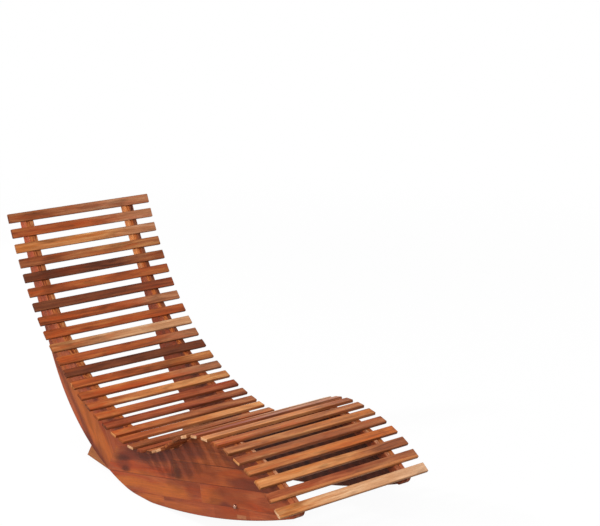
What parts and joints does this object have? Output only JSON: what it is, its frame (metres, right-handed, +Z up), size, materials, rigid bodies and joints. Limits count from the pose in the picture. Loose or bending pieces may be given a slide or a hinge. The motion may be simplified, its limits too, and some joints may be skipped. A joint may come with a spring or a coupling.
{
  "type": "rocking chaise lounge",
  "caption": "Reclined rocking sun lounger of oiled hardwood: separate slats across two curved side frames whose lower edges are rockers.",
  "frame": {"origin": "on the floor, under the middle of the overall box", "axes": "+X from the head towards the foot, +Y to the sitter's left, +Z up"},
  "size_m": [1.6164, 0.6, 0.8736],
  "materials": {
    "wood_pale": "oiled, satin",
    "wood_golden": "oiled, satin",
    "wood_orange": "oiled, satin",
    "wood_brown": "oiled, satin",
    "wood_red": "oiled, satin",
    "wood_dark": "oiled, satin",
    "side_back": "oiled, satin, grain along the back board",
    "side_orange": "oiled, satin, grain along the stave",
    "side_red": "oiled, satin, grain along the stave",
    "side_brown": "oiled, satin, grain along the stave",
    "batten": "oiled, satin",
    "brace": "oiled, satin",
    "steel": "plain, slightly dull"
  },
  "bodies": {
    "root": {"slat_01": "wood_brown", "slat_02": "wood_red", "slat_03": "wood_golden", "slat_04": "wood_brown", "slat_05": "wood_dark", "slat_06": "wood_orange", "slat_07": "wood_dark", "slat_08": "wood_orange", "slat_09": "wood_orange", "slat_10": "wood_golden", "slat_11": "wood_orange", "slat_12": "wood_dark", "slat_13": "wood_orange", "slat_14": "wood_brown", "slat_15": "wood_golden", "slat_16": "wood_red", "slat_17": "wood_brown", "slat_18": "wood_golden", "slat_19": "wood_brown", "slat_20": "wood_golden", "slat_21": "wood_brown", "slat_22": "wood_orange", "slat_23": "wood_orange", "slat_24": "wood_orange", "slat_25": "wood_brown", "slat_26": "wood_red", "slat_27": "wood_brown", "slat_28": "wood_golden", "slat_29": "wood_orange", "slat_30": "wood_red", "slat_31": "wood_orange", "slat_32": "wood_golden", "slat_33": "wood_golden", "slat_34": "wood_brown", "slat_35": "wood_pale", "right_back_board": "side_back", "right_seat_block": "side_orange", "right_knee_stave": "side_red", "right_middle_stave": "side_red", "right_lower_rear_stave": "side_brown", "right_lower_front_stave": "side_brown", "right_rear_sole_stave": "side_orange", "right_front_sole_stave": "side_orange", "right_back_batten": "batten", "right_seat_batten": "batten", "right_heel_brace": "brace", "right_cap_nut": "steel", "left_back_board": "side_back", "left_seat_block": "side_orange", "left_knee_stave": "side_red", "left_middle_stave": "side_red", "left_lower_rear_stave": "side_brown", "left_lower_front_stave": "side_brown", "left_rear_sole_stave": "side_orange", "left_front_sole_stave": "side_orange", "left_back_batten": "batten", "left_seat_batten": "batten", "left_heel_brace": "brace", "left_cap_nut": "steel", "calf_tie_rod": "steel"}
  },
  "joints": []
}
